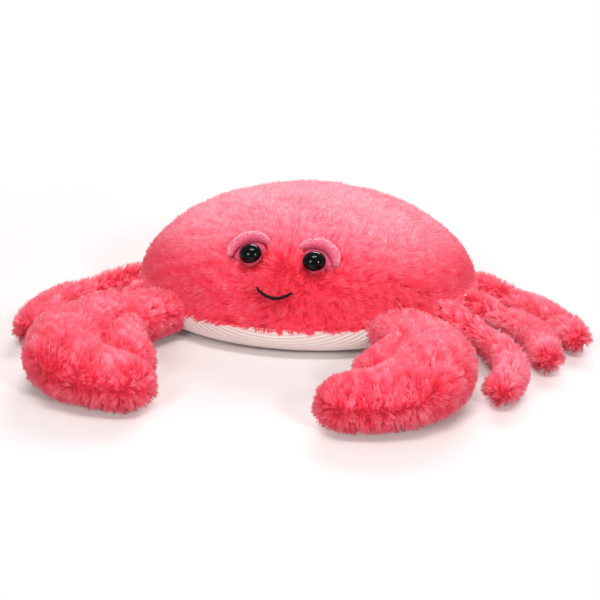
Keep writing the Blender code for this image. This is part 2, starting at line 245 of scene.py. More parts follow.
def pile_finish(name, **colours):
    """A matt finish for hairs, which glow a little at their edges as pile does."""
    made, tree, shader, new, link = nodes_of(name)
    place = new("ShaderNodeUVMap")
    place.uv_map = "OFBake"
    hairs = placed(pile_colour, new, Plain=(1.0, 1.0, 1.0), **colours)
    link(place.outputs["UV"], hairs.inputs["Place"])
    link(hairs.outputs["Color"], shader.inputs["Base Color"])
    shader.inputs["Roughness"].default_value = 0.85
    shader.inputs["Specular IOR Level"].default_value = 0.15
    shader.inputs["Sheen Weight"].default_value = 0.35
    shader.inputs["Sheen Roughness"].default_value = 0.5
    shader.inputs["Sheen Tint"].default_value = (1.0, 0.50, 0.57, 1)
    return made


def backing_finish(name, **values):
    """A matt knitted cloth, with its loops as fine bumps."""
    made, tree, shader, new, link = nodes_of(name)
    place = new("ShaderNodeTexCoord")
    cloth = placed(knit, new, **values)
    bump = new("ShaderNodeBump")
    bump.inputs["Strength"].default_value = 0.5
    bump.inputs["Distance"].default_value = 0.0004
    link(place.outputs["Object"], cloth.inputs["Place"])
    link(cloth.outputs["Color"], shader.inputs["Base Color"])
    link(cloth.outputs["Height"], bump.inputs["Height"])
    link(bump.outputs["Normal"], shader.inputs["Normal"])
    shader.inputs["Roughness"].default_value = 0.95
    return made


pile_pink = pile_finish(
    "pile_pink",
    Root=(0.66, 0.012, 0.035),
    Middle=(0.94, 0.070, 0.130),
    Tip=(0.97, 0.22, 0.30),
    Pale=(1.0, 2.2, 1.9),
    Deep=(0.89, 0.20, 0.33),
)
# The backing is darker than the pile: painted shade, as deep down between the hairs.
backing_pink = backing_finish(
    "backing_pink", Loops=900, Dark=(0.42, 0.006, 0.022), Light=(0.60, 0.015, 0.045)
)

TUFT_PITCH, BLUNT_SHARE, HAIR_THICKNESS = 0.0015, 0.2, 0.00004


def waves(points, size, seed):
    """A smooth field from about -1 to 1 that changes over a size, for swirls and patches."""
    chance = np.random.default_rng(seed)
    total = np.zeros(len(points))
    for _ in range(5):
        way = chance.normal(size=3)
        way *= math.tau / size * chance.uniform(0.6, 1.4) / np.linalg.norm(way)
        total += np.sin(points @ way + chance.uniform(0, math.tau))
    return total / 2.2


def scattered(ground, count, chance):
    """Points spread evenly at random over a mesh, the ways out there, and their faces and mixes."""
    mesh = ground.data
    mesh.calc_loop_triangles()
    points, ways = points_of(ground), points_of(ground, "normal")
    corners = np.empty(len(mesh.loop_triangles) * 3, np.int32)
    mesh.loop_triangles.foreach_get("vertices", corners)
    corners = corners.reshape(-1, 3)
    a, b, c = (points[corners[:, i]] for i in range(3))
    areas = np.linalg.norm(np.cross(b - a, c - a), axis=1)
    picked = chance.choice(len(corners), size=count, p=areas / areas.sum())
    mix = chance.dirichlet((1, 1, 1), size=count)
    picked = corners[picked]
    return mixed_at(points, picked, mix), unit(mixed_at(ways, picked, mix)), picked, mix


def mixed_at(values, corners, mix):
    """Values of a mesh's points, mixed for places inside its faces."""
    return np.einsum("ijk,ij->ik", values[corners].reshape(*corners.shape, -1), mix)


def unit(vectors):
    return vectors / np.maximum(np.linalg.norm(vectors, axis=1, keepdims=True), 1e-12)


def tufts(name, spots, out, comb, length, lean, tint, style, seed, pull=0.0, floor=None):
    """Pile as hairs in tufts, some tapered and some cut blunt. The hairs of a tuft are rooted round
    one spot and close up towards their tips, and a pull leans near tufts together into locks. Each
    hair has a front and a back, and both are lit much as the fabric under them is.

    style gives hairs to a tuft, their spread and closing, the hair width, and the size of the locks.
    """
    hairs, spread, closing, width, lock_size = style
    chance = np.random.default_rng(seed)
    count = len(spots)
    comb = unit(comb - out * np.sum(comb * out, 1)[:, None])
    drift = np.zeros_like(spots)
    if np.any(pull):
        lock_count = max(int(count * (TUFT_PITCH / lock_size) ** 2), 1)
        picked = chance.choice(count, size=lock_count, replace=False)
        locks = KDTree(len(picked))
        for index in picked:
            locks.insert(spots[index], int(index))
        locks.balance()
        drift = np.array([locks.find(spot)[0] for spot in spots]) - spots
        drift -= out * np.sum(drift * out, 1)[:, None]
        reach = np.linalg.norm(drift, axis=1)[:, None]
        drift *= np.reshape(pull, (-1, 1)) * np.minimum(1, 1.2 * lock_size / (reach + 1e-9))

    tuft = np.repeat(np.arange(count), hairs)
    total = count * hairs
    n, t = out[tuft], comb[tuft]
    s = np.cross(t, n)
    turn = chance.uniform(0, math.tau, total)
    reach = np.sqrt(chance.uniform(0, 1, total)) * spread
    offset = t * (np.cos(turn) * reach)[:, None] + s * (np.sin(turn) * reach)[:, None]
    long = length[tuft] * chance.uniform(0.78, 1.10, total)
    tilt = lean[tuft] + chance.normal(0, 0.10, total)
    along = unit(t + s * chance.normal(0, 0.20, total)[:, None])
    way = n * np.cos(tilt)[:, None] + along * np.sin(tilt)[:, None]
    root = spots[tuft] + offset - n * 0.0004
    tip = root + way * long[:, None] - offset * closing + drift[tuft]
    way = unit(tip - root)
    twist = chance.normal(0, 0.4, total)
    flat = unit(np.cross(way, n) + 1e-9)
    blade = flat * np.cos(twist)[:, None] + np.cross(way, flat) * np.sin(twist)[:, None]
    blade[np.sum(np.cross(blade, way) * n, 1) < 0] *= -1
    blunt = chance.uniform(size=(total, 1)) < BLUNT_SHARE
    half = blade * (width * chance.uniform(0.75, 1.25, total) / 2)[:, None] * np.where(blunt, -1, 1)
    face = unit(np.cross(blade, way))
    back = face * HAIR_THICKNESS
    wide, narrow = np.where(blunt, tip, root), np.where(blunt, root, tip)
    points = [wide - half, wide + half, narrow, wide - half - back, wide + half - back, narrow - back]
    points = np.stack(points, 1).reshape(-1, 3)
    if floor is not None:
        points[:, 2] = np.maximum(points[:, 2], floor + chance.uniform(0, 0.0006, len(points)))
    front = 6 * np.arange(total)[:, None]
    piece = add_piece(name, points, np.hstack([front + [0, 1, 2], front + [4, 3, 5]]).reshape(-1, 3))
    # Real pile lets light through, so these much broader hairs cast no shadow on each other.
    piece.visible_shadow = False
    shade = (tint + chance.normal(0, 0.05, count))[tuft] + chance.normal(0, 0.06, total)
    shade = np.clip(shade, 0.03, 0.97)
    u = np.stack([shade - 0.012, shade + 0.012, shade, shade + 0.012, shade - 0.012, shade], 1)
    v = np.tile(np.where(blunt, [0.98, 0.98, 0.02], [0.02, 0.02, 0.98]), 2)
    layer = piece.data.uv_layers.new(name="OFBake")
    layer.uv.foreach_set("vector", np.stack([u, v], -1).astype(np.float32).ravel())
    soft = n + chance.normal(0, 0.12, (total, 3)) + way * 0.3
    sides = np.stack([unit(soft + face * 0.3), unit(soft - face * 0.8)], 1).reshape(-1, 3)
    piece.data.normals_split_custom_set_from_vertices(np.repeat(sides, 3, 0).astype(np.float32))
    return piece


def rounded(name, around, up, lowest):
    """A ball of radius 1, or its part above a latitude, as a grid closed along one edge and at its
    poles. Its faces come in the same order on each run, which a sphere primitive's don't."""
    bpy.ops.mesh.primitive_grid_add(x_subdivisions=around, y_subdivisions=up, size=2.0)
    ball = bpy.context.object
    ball.name = name
    flat = points_of(ball)
    turn, rise = math.pi * flat[:, 0], lowest + (math.pi / 2 - lowest) * (flat[:, 1] + 1) / 2
    across = np.cos(rise)
    put_points(ball, np.stack([np.sin(turn) * across, -np.cos(turn) * across, np.sin(rise)], 1))
    edited(ball, (bpy.ops.mesh.remove_doubles, {"threshold": 1e-5}))
    return ball


carapace = rounded("carapace_backing", 96, 30, 0.0)
ball = points_of(carapace)
angle = np.arctan2(ball[:, 0], -ball[:, 1])
height = SEAM_HEIGHT + (TOP - SEAM_HEIGHT) * np.clip(ball[:, 2], 0, 0.9995)
# The backing comes out to the seam at its edge, and lies a pile's height under the outside above it.
inset = BODY_PILE_HEIGHT * (0.1 + 0.9 * smooth_step(height, SEAM_HEIGHT, SEAM_HEIGHT + FRINGE_HEIGHT))
points = body_surface(angle, height) - body_way_out(angle, height) * inset[:, None]
points[ball[:, 2] > 0.9999] = (0, 0, TOP - BODY_PILE_HEIGHT)
put_points(carapace, points)
finished(carapace, backing_pink, "carapace_cover")

# The pile is combed away from the brow: back over the top, out to the sides and down the face. It parts
# round each eye and its lid and is trimmed short along the mouth. Its tint is painted light: paler the
# more it faces up and towards the flanks, deeper on the face below.
BROW = np.array([0.002, -0.070, 0.056])
EYES = (("left", 1, 13.7, 0.0496), ("right", -1, -12.3, 0.0508))
EYE_RADIUS, EYE_DOME_HEIGHT = 0.0064, 0.0050
LID_RADIUS, LID_WIDTH, LID_START, LID_END = 0.0116, 0.0031, -14.0, 131.0
MOUTH_TURN, MOUTH_HEIGHT, MOUTH_HALF_ANGLE = 0.2, 0.0328, 5.9
MOUTH_RISE, MOUTH_SLANT = 0.0035, 0.0004
BODY_TUFTS, BODY_STYLE = 24800, (8, 0.0010, 0.40, 0.00040, 0.0030)
BODY_HAIR_LENGTH, BODY_LEAN, TOP_LEAN, FRINGE_LEAN = 0.0060, 42, 12, 20
BROW_REACH, EYE_REACH, MOUTH_REACH = 0.026, 0.0080, 0.0050
BROW_TRIM, EYE_TRIM, MOUTH_TRIM, FRINGE_TRIM = 0.10, 0.26, 0.36, 0.35
HAIR_OVER_EYE, ROOM_FOR_LID = 0.0016, 0.0026
# The tint of the face, and the painted light that makes the pile paler as it faces up.
DEEP_TINT, PAINTED_TOP_LIGHT, TOP_LIGHT_FROM, TOP_LIGHT_TO = 0.06, 0.86, 0.60, 1.08


def face_frame(angle, height):
    """A frame on the body with Z pointing out, X across the face and Y up it."""
    angle = math.radians(angle)
    way = Vector(body_way_out(angle, height))
    across = Vector((0, 0, 1)).cross(way).normalized()
    turned = Matrix((across, way.cross(across), way)).transposed().to_4x4()
    turned.translation = Vector(body_surface(angle, height))
    return turned


def mouth_line(across):
    """Angles and heights along the mouth, from -1 to 1 across it."""
    height = MOUTH_HEIGHT + MOUTH_RISE * across * across - MOUTH_SLANT * across
    return np.radians(MOUTH_TURN + across * MOUTH_HALF_ANGLE), height


def round_eye(points, side, angle, height):
    """How far points are from an eye's middle, the ways away from it, and which lie by its lid."""
    across, up, way, middle = (np.array(face_frame(angle, height).col[i][:3]) for i in range(4))
    away = points - middle
    away -= np.outer(away @ way, way)
    turn = np.degrees(np.arctan2(away @ up, away @ across * side))
    by_lid = smooth_step(turn, LID_START - 14, LID_START + 6)
    by_lid *= 1 - smooth_step(turn, LID_END - 6, LID_END + 14)
    return np.linalg.norm(away, axis=1), unit(away), by_lid


def body_pile(name, seed):
    """Half of the body's tufts, as one piece."""
    chance = np.random.default_rng(seed)
    spots, out, _, _ = scattered(carapace, BODY_TUFTS // 2, chance)
    comb = unit(spots - BROW)
    from_brow = np.linalg.norm(spots - BROW, axis=1)
    upright = 1 - smooth_step(from_brow, 0.004, BROW_REACH)
    short = 1 - BROW_TRIM * upright
    clear = np.ones(len(spots), bool)
    for _, side, angle, height in EYES:
        reach, away, by_lid = round_eye(spots, side, angle, height)
        edge = EYE_RADIUS - HAIR_OVER_EYE + by_lid * (LID_RADIUS + ROOM_FOR_LID - EYE_RADIUS)
        clear &= reach > edge
        near = 1 - smooth_step(reach - edge, 0.0005, EYE_REACH)
        comb = comb * (1 - near)[:, None] + away * near[:, None]
        short *= 1 - EYE_TRIM * near
        upright = np.maximum(upright, (0.50 + 0.35 * by_lid) * near)
    mouth = mouth_line(np.linspace(-1, 1, 41))
    line = body_surface(*mouth) - body_way_out(*mouth) * BODY_PILE_HEIGHT
    from_mouth = np.linalg.norm(spots[:, None] - line[None], axis=2).min(1)
    near = 1 - smooth_step(from_mouth, 0.0006, MOUTH_REACH)
    short *= 1 - MOUTH_TRIM * near
    upright = np.maximum(upright, 0.7 * near)
    spots, out, comb, short, upright = (part[clear] for part in (spots, out, comb, short, upright))
    swirl = waves(spots, 0.045, 5) * 0.40 + waves(spots, 0.012, 6) * 0.40
    side = np.cross(comb, out)
    comb = comb * np.cos(swirl)[:, None] + side * np.sin(swirl)[:, None]
    upward = smooth_step(out[:, 2], 0.35, 0.95)
    lean = BODY_LEAN + TOP_LEAN * upward + 4 * waves(spots, 0.009, 7) + 5 * waves(spots, 0.03, 8)
    fringe = 1 - smooth_step(spots[:, 2], SEAM_HEIGHT, SEAM_HEIGHT + FRINGE_HEIGHT)
    lean = np.radians(lean * (1 - 0.75 * upright) + FRINGE_LEAN * fringe)
    length = (BODY_HAIR_LENGTH + 0.0004 * upward) * short * (1 - FRINGE_TRIM * fringe)
    length *= 1 + 0.06 * waves(spots, 0.008, 9)
    sideways = np.abs(spots[:, 0]) / HALF_WIDTH
    # Painted light: the pile's tint is paler the more it faces up and the further out to the flanks it
    # lies.
    tint = DEEP_TINT + PAINTED_TOP_LIGHT * smooth_step(out[:, 2] + 0.13 * sideways - 0.03, TOP_LIGHT_FROM, TOP_LIGHT_TO)
    tint += 0.05 * waves(spots, 0.03, 10) + 0.11 * waves(spots, 0.005, 11)
    pull = 0.20 * (1 - 0.8 * upward)
    piece = tufts(name, spots, out, comb, length, lean, tint, BODY_STYLE, seed, pull)
    return finished(piece, pile_pink)


# The pile is in two pieces, mixed over the whole body, so that neither is too large a mesh.
body_pile("carapace_pile_a", 21)
body_pile("carapace_pile_b", 22)


# Limbs
# Two claws and six legs are stuffed tubes of the same long-pile fabric, sewn on at the seam.
# The legs' pile is fluffier, and each leg has a stitched joint part of the way along.
CLAWS = ("claw_left", "claw_right")
LEGS = ("leg_left_front", "leg_left_middle", "leg_left_rear")
LEGS += ("leg_right_front", "leg_right_middle", "leg_right_rear")


def apply_step(piece, kind, **settings):
    """Adds a modifier with settings and applies it."""
    step = piece.modifiers.new(kind.lower(), kind)
    for key, value in settings.items():
        setattr(step, key, value)
    bpy.context.view_layer.objects.active = piece
    bpy.ops.object.modifier_apply(modifier=step.name)


def backing_from(node, name, puff, voxel, passes):
    """A tight fabric backing over a filling: its shape remeshed, smoothed and puffed out."""
    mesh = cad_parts[node].data.copy()
    mesh.name = name
    mesh.materials.clear()
    piece = bpy.data.objects.new(name, mesh)
    bpy.context.scene.collection.objects.link(piece)
    edited(piece, (bpy.ops.mesh.remove_doubles, {"threshold": 1e-6}))
    apply_step(piece, "REMESH", mode="VOXEL", voxel_size=voxel, use_smooth_shade=True)
    apply_step(piece, "SMOOTH", factor=0.5, iterations=passes)
    apply_step(piece, "DISPLACE", strength=puff, mid_level=0.0)
    piece.data.shade_smooth()
    return piece


def along_limb(piece):
    """For each point of a limb, how far it is over the fabric from where the limb is sewn on."""
    points = points_of(piece)
    near = [[] for _ in points]
    for edge in piece.data.edges:
        a, b = edge.vertices
        step = float(np.linalg.norm(points[a] - points[b]))
        near[a].append((b, step))
        near[b].append((a, step))
    sewn = ~outside_body(points, 0.002)
    far = np.where(sewn, 0.0, np.inf)
    queue = [(0.0, int(i)) for i in np.flatnonzero(sewn)]
    heapq.heapify(queue)
    while queue:
        reached, i = heapq.heappop(queue)
        if reached > far[i]:
            continue
        for j, step in near[i]:
            if reached + step < far[j]:
                far[j] = reached + step
                heapq.heappush(queue, (far[j], j))
    return points, far


def root_to_tip(piece, corners):
    """The way from root to tip over each triangle of a limb."""
    points, far = along_limb(piece)
    a, b, c = (points[corners[:, i]] for i in range(3))
    fa, fb, fc = (far[corners[:, i]] for i in range(3))
    face = np.cross(b - a, c - a)
    size = np.sum(face * face, 1)[:, None]
    rise = np.cross(face, c - b) * fa[:, None] + np.cross(face, a - c) * fb[:, None]
    rise += np.cross(face, b - a) * fc[:, None]
    return unit(rise / np.maximum(size, 1e-18) + 1e-9)


def hollows(piece):
    """How far each point of a limb lies below the points round it, as in a claw's crease."""
    points, ways = points_of(piece), points_of(piece, "normal")
    ends = np.array([edge.vertices[:] for edge in piece.data.edges])
    both = np.concatenate([ends, ends[:, ::-1]])
    near = np.bincount(both[:, 0], minlength=len(points))[:, None]

    def neighbours(values):
        total = np.zeros_like(values)
        np.add.at(total, both[:, 0], values[both[:, 1]])
        return total / near

    rise = np.sum((neighbours(points) - points) * ways, 1)[:, None]
    for _ in range(3):
        rise = neighbours(rise)
    return rise[:, 0]


CLAW_PUFF, CLAW_GRAIN, CLAW_SMOOTHING = 0.0014, 0.0018, 3
LEG_PUFF, LEG_GRAIN, LEG_SMOOTHING = 0.0016, 0.0020, 6
CLAW_SEAM_HEIGHT, SEAM_HALF_WIDTH, SEAM_DEPTH = 0.0140, 0.0016, 0.0010
HOLLOW_RANGE, RIDGE_RANGE = (-0.000014, 0.000030), (0.00010, 0.00020)
CLAW_TUFTS, CLAW_STYLE = 10400, (8, 0.0009, 0.30, 0.00038, 0.0028)
CLAW_HAIR_LENGTH, CLAW_LEAN, CLAW_SWIRL, CLAW_TINT = 0.0044, 38, 0.5, 0.27
LEG_TUFTS, LEG_STYLE = 2400, (8, 0.0009, 0.40, 0.00038, 0.0028)
LEG_HAIR_LENGTH, LEG_LEAN, LEG_SWIRL, LEG_TINT = 0.0046, 34, 0.6, 0.31


def seam_closeness(points, out):
    """How near a claw's points are to the seam round its edge, from 0 to 1."""
    off = (points[:, 2] - CLAW_SEAM_HEIGHT) / SEAM_HALF_WIDTH
    return np.exp(-off * off) * (np.abs(out[:, 2]) < 0.85)


def limb_pile(piece, name, count, style, hair_length, lean_degrees, swirl_size, tint_low, seed, seam=None):
    """A limb's pile, combed towards the body, short in its creases and shaggy below a claw's seam. Its
    tint is painted light and shade: paler the more it faces up and on ridges, deeper in the creases.
    """
    chance = np.random.default_rng(seed)
    spots, out, corners, mix = scattered(piece, count, chance)
    comb = -root_to_tip(piece, corners)
    below = mixed_at(hollows(piece)[:, None], corners, mix)[:, 0]
    hollow, ridge = smooth_step(below, *HOLLOW_RANGE), smooth_step(-below, *RIDGE_RANGE)
    clear = outside_body(spots, -0.001)
    clear &= (out[:, 2] > -0.5) | (chance.uniform(size=len(spots)) < 0.5)
    spots, out, comb, hollow, ridge = (part[clear] for part in (spots, out, comb, hollow, ridge))
    swirl = waves(spots, 0.040, seed + 1) * swirl_size + waves(spots, 0.010, seed + 2) * swirl_size / 2
    side = np.cross(comb, out)
    comb = comb * np.cos(swirl)[:, None] + side * np.sin(swirl)[:, None]
    lean = np.radians(lean_degrees + 4 * waves(spots, 0.008, seed + 3))
    length = hair_length * (1 + 0.06 * waves(spots, 0.007, seed + 4)) * (1 - 0.55 * hollow)
    if seam is not None:
        shaggy = 1 - smooth_step(spots[:, 2], seam - 0.001, seam + 0.004)
        comb = comb * (1 - 0.6 * shaggy)[:, None] + np.array([0, 0, -0.6]) * shaggy[:, None]
        lean -= 0.15 * shaggy
        length *= 1 - 0.16 * seam_closeness(spots, out)
    # Painted light and shade: paler the more the pile faces up and on ridges, deeper in the creases.
    tint = tint_low + 0.10 * smooth_step(out[:, 2], 0.0, 0.9) - 0.35 * hollow + 0.15 * ridge
    tint += 0.08 * waves(spots, 0.025, seed + 5) + 0.18 * waves(spots, 0.005, seed + 6)
    pile = tufts(name, spots, out, comb, length, lean, tint, style, seed, 0.12, floor=0.0003)
    return finished(pile, pile_pink)


for index, limb in enumerate(CLAWS):
    claw = backing_from(f"{limb}_filling", f"{limb}_backing", CLAW_PUFF, CLAW_GRAIN, CLAW_SMOOTHING)
    # The creases and the edge seam are drawn in a little.
    points, out = points_of(claw), points_of(claw, "normal")
    drawn = np.maximum(smooth_step(hollows(claw), *HOLLOW_RANGE), 0.6 * seam_closeness(points, out))
    put_points(claw, points - out * SEAM_DEPTH * drawn[:, None])
    finished(claw, backing_pink, f"{limb}_cover")
    pile_name, seed = f"{limb}_pile", 100 + 20 * index
    values = (CLAW_TUFTS, CLAW_STYLE, CLAW_HAIR_LENGTH, CLAW_LEAN, CLAW_SWIRL, CLAW_TINT, seed)
    limb_pile(claw, pile_name, *values, seam=CLAW_SEAM_HEIGHT)

for index, limb in enumerate(LEGS):
    leg = backing_from(f"{limb}_filling", f"{limb}_backing", LEG_PUFF, LEG_GRAIN, LEG_SMOOTHING)
    finished(leg, backing_pink, f"{limb}_cover")
    pile_name, seed = f"{limb}_pile", 200 + 20 * index
    limb_pile(leg, pile_name, LEG_TUFTS, LEG_STYLE, LEG_HAIR_LENGTH, LEG_LEAN, LEG_SWIRL, LEG_TINT, seed)


# Belly panel
# The underside is one piece of cream cord fabric, sewn to the pile fabric all round.
# Its ribs are about 2 mm apart and run from side to side.
RIB_PITCH, RIB_DEPTH = 0.0021, 0.00070
ROWS_PER_RIB, ROW_POINTS, WIDEST_CUT = 4, 60, 0.2
RIM_HEIGHTS = SEAM_HEIGHT * (1 - np.cos(np.linspace(0, math.pi / 2, 40)))


def draped(flat):
    """Where points of the flat fabric come to lie: on the floor, then round and up to the seam."""
    reach = np.linalg.norm(flat, axis=1)
    x, y = np.abs(flat[:, 0]) / HALF_WIDTH, np.abs(flat[:, 1]) / HALF_DEPTH
    share = (x**PLAN_POWER + y**PLAN_POWER) ** (1 / PLAN_POWER)
    full = reach / np.maximum(share, 1e-9)
    radii = full[:, None] * profile_share(RIM_HEIGHTS)[None]
    steps = np.hypot(np.diff(radii, axis=1), np.diff(RIM_HEIGHTS)[None])
    arcs = np.concatenate([np.zeros((len(flat), 1)), np.cumsum(steps, 1)], 1)
    past = reach - full * RESTING_SHARE
    points = np.concatenate([flat, np.zeros((len(flat), 1))], 1)
    for k in np.flatnonzero(past > 0):
        height = np.interp(past[k], arcs[k], RIM_HEIGHTS)
        points[k, :2] *= full[k] * float(profile_share(height)) / reach[k]
        points[k, 2] = height
    return points, arcs[:, -1] - past


def cut_edge(count, places_at):
    """How far out the flat fabric is cut, for rows of places that depend on how far out they are."""
    inner, outer = np.zeros(count), np.full(count, WIDEST_CUT)
    for _ in range(24):
        middle = (inner + outer) / 2
        kept = draped(places_at(middle))[1] > 0
        inner, outer = np.where(kept, middle, inner), np.where(kept, outer, middle)
    return inner


# The cloth is a grid whose rows run along the ribs. Its outline is the flat shape that reaches the
# seam all round once it is draped.
cut_length = float(cut_edge(1, lambda far: np.array([[1e-9, 1.0]]) * far[:, None])[0]) * 0.998
rows = 2 * int(cut_length / RIB_PITCH * ROWS_PER_RIB)
bpy.ops.mesh.primitive_grid_add(x_subdivisions=ROW_POINTS, y_subdivisions=rows, size=2.0)
belly = bpy.context.object
belly.name = "belly_cord_panel"
square = points_of(belly)
y = square[:, 1] * cut_length
row_places, row_of = np.unique(np.round(y, 9), return_inverse=True)
half_rows = cut_edge(len(row_places), lambda far: np.stack([far + 1e-9, row_places], 1))
flat_points = np.stack([half_rows[row_of] * np.sin(square[:, 0] * math.pi / 2), y], 1)
put_points(belly, draped(flat_points)[0])
edited(belly, (bpy.ops.mesh.flip_normals, {}))
ways = points_of(belly, "normal")
valley = (0.5 - 0.5 * np.cos(y / RIB_PITCH * math.tau)) ** 1.6
put_points(belly, points_of(belly) - ways * (0.0004 + RIB_DEPTH * valley)[:, None])
belly.data.attributes.new("valley", "FLOAT", "POINT").data.foreach_set("value", valley.astype(np.float32))


def ramp(tree, stops):
    """A colour ramp node with stops of (place, colour)."""
    node = tree.nodes.new("ShaderNodeValToRGB")
    elements = node.color_ramp.elements
    elements[0].position, elements[1].position = stops[0][0], stops[-1][0]
    for place, _ in stops[1:-1]:
        elements.new(place)
    for element, (_, colour) in zip(elements, stops):
        element.color = (*colour, 1)
    return node


cord_cream, tree, shader, new, link = nodes_of("cord_cream")
place = new("ShaderNodeTexCoord")
nap = new("ShaderNodeTexNoise")
nap.inputs["Scale"].default_value = 900
nap.inputs["Detail"].default_value = 3
soil = new("ShaderNodeTexNoise")
soil.inputs["Scale"].default_value = 35
cream = ramp(tree, [(0.3, (0.82, 0.70, 0.67)), (0.7, (0.88, 0.79, 0.75))])
# Painted shade: the valleys between the ribs are darkened.
groove = new("ShaderNodeAttribute")
groove.attribute_name = "valley"
shade = new("ShaderNodeMix")
shade.data_type, shade.blend_type = "RGBA", "MULTIPLY"
shade.inputs["B"].default_value = (0.82, 0.77, 0.77, 1)
bump = new("ShaderNodeBump")
bump.inputs["Strength"].default_value = 0.35
bump.inputs["Distance"].default_value = 0.0003
link(place.outputs["Object"], nap.inputs["Vector"])
link(place.outputs["Object"], soil.inputs["Vector"])
link(soil.outputs["Fac"], cream.inputs["Fac"])
link(groove.outputs["Fac"], shade.inputs["Factor"])
link(cream.outputs["Color"], shade.inputs["A"])
link(shade.outputs["Result"], shader.inputs["Base Color"])
link(nap.outputs["Fac"], bump.inputs["Height"])
link(bump.outputs["Normal"], shader.inputs["Normal"])
shader.inputs["Roughness"].default_value = 0.9
shader.inputs["Sheen Weight"].default_value = 0.25
finished(belly, cord_cream, "belly_panel", slot="ribbed_fabric")


# Eyes
# Each eye is a glossy black plastic dome on a shank, pushed through the fabric and held by a washer.
# It sits on a patch of short-pile fabric, under a padded eyelid of the same short pile.
eye_black, tree, shader, new, link = nodes_of("eye_black")
place = new("ShaderNodeTexCoord")
smear = new("ShaderNodeTexNoise")
smear.inputs["Scale"].default_value = 260
gloss = new("ShaderNodeMapRange")
gloss.inputs["To Min"].default_value = 0.03
gloss.inputs["To Max"].default_value = 0.09
link(place.outputs["Object"], smear.inputs["Vector"])
link(smear.outputs["Fac"], gloss.inputs["Value"])
link(gloss.outputs["Result"], shader.inputs["Roughness"])
shader.inputs["Base Color"].default_value = (0.0004, 0.0003, 0.0004, 1)
shader.inputs["Specular IOR Level"].default_value = 0.24

lid_pink = pile_finish(
    "lid_pink",
    Root=(0.80, 0.080, 0.170),
    Middle=(0.90, 0.190, 0.300),
    Tip=(0.97, 0.38, 0.48),
    Pale=(1.0, 2.0, 1.7),
    Deep=(0.90, 0.45, 0.55),
)
lid_backing = backing_finish(
    "lid_backing", Loops=1500, Dark=(0.62, 0.06, 0.14), Light=(0.80, 0.14, 0.25)
)
EYE_HEIGHT_SHARE, EYE_BACK_DEPTH, EYE_LIFT = 0.93, 0.0012, 0.0005
PATCH_RADIUS, PATCH_DIP, PATCH_SINK = 0.0092, 0.0006, 0.0046
PATCH_TUFTS, PATCH_HAIR_LENGTH = 520, 0.0007
LID_LIFT, LID_TUFTS, LID_HAIR_LENGTH = 0.0008, 1250, 0.0010
NAP_STYLE = (5, 0.0005, 0.3, 0.00032, 0.0020)


def on_body(points, way):
    """Points moved along a way until they are on the outside of the body."""
    inner, outer = np.full(len(points), -0.008), np.full(len(points), 0.008)
    for _ in range(24):
        middle = (inner + outer) / 2
        outside = outside_body(points + way * middle[:, None], 0.0)
        inner, outer = np.where(outside, inner, middle), np.where(outside, middle, outer)
    return points + way * inner[:, None]


def threads(name, lines, thickness, roundness):
    """A mesh of round, closed threads or rolls, each a run of points with shares of the thickness."""
    curve = bpy.data.curves.new(name, "CURVE")
    curve.dimensions = "3D"
    curve.bevel_depth, curve.bevel_resolution, curve.use_fill_caps = thickness, roundness, True
    for points, shares in lines:
        run = curve.splines.new("POLY")
        run.points.add(len(points) - 1)
        for place, point, share in zip(run.points, points, shares):
            place.co, place.radius = (*point, 1), share
    piece = bpy.data.objects.new(name, curve)
    bpy.context.scene.collection.objects.link(piece)
    bpy.ops.object.select_all(action="DESELECT")
    piece.select_set(True)
    bpy.context.view_layer.objects.active = piece
    bpy.ops.object.convert(target="MESH")
    merge = (bpy.ops.mesh.remove_doubles, {"threshold": 1e-6})
    edited(piece, merge, (bpy.ops.mesh.normals_make_consistent, {}))
    return piece


